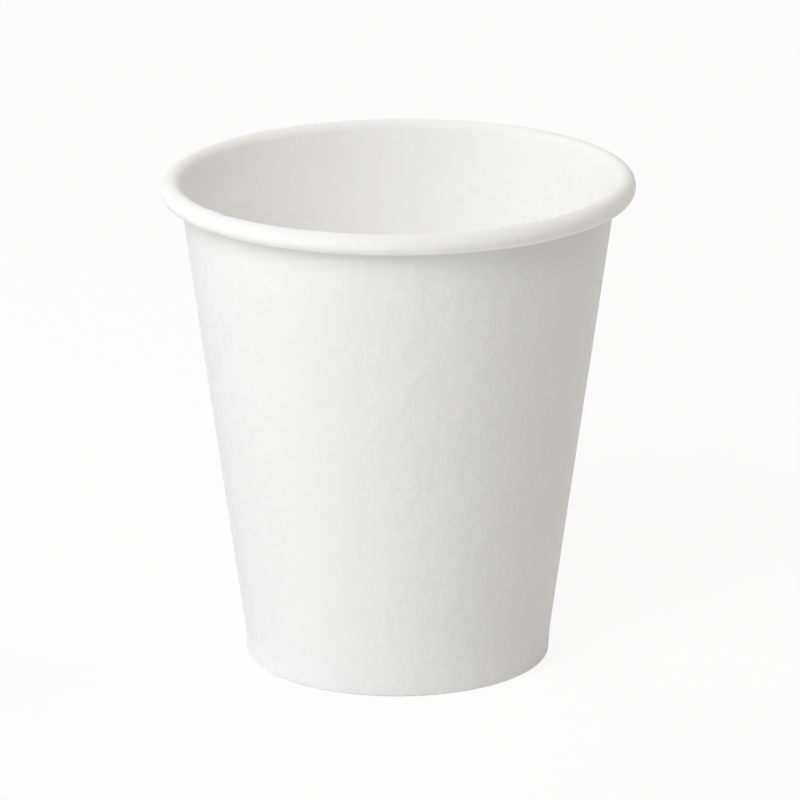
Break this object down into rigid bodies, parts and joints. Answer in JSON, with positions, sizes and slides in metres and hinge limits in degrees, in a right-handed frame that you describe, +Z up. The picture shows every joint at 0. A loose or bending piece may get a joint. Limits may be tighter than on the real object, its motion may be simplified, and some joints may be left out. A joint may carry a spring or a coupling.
{
  "type": "paper coffee cup",
  "caption": "Plain single-wall paper cup with a rolled rim, a tapered lapped wall, a folded foot and a recessed bottom.",
  "frame": {"origin": "centre of the foot, on the surface that the cup stands on", "axes": "+Z up along the cup's axis to the rim; the front as pictured faces -Y, with the side seam at the front left"},
  "size_m": [0.09, 0.09, 0.0946],
  "materials": {
    "wall_board": "matte white cup board, smooth coated inside",
    "bottom_board": "matte white cup board, smooth coated on top"
  },
  "bodies": {
    "root": {"sidewall": "wall_board", "bottom_disc": "bottom_board"}
  },
  "joints": []
}
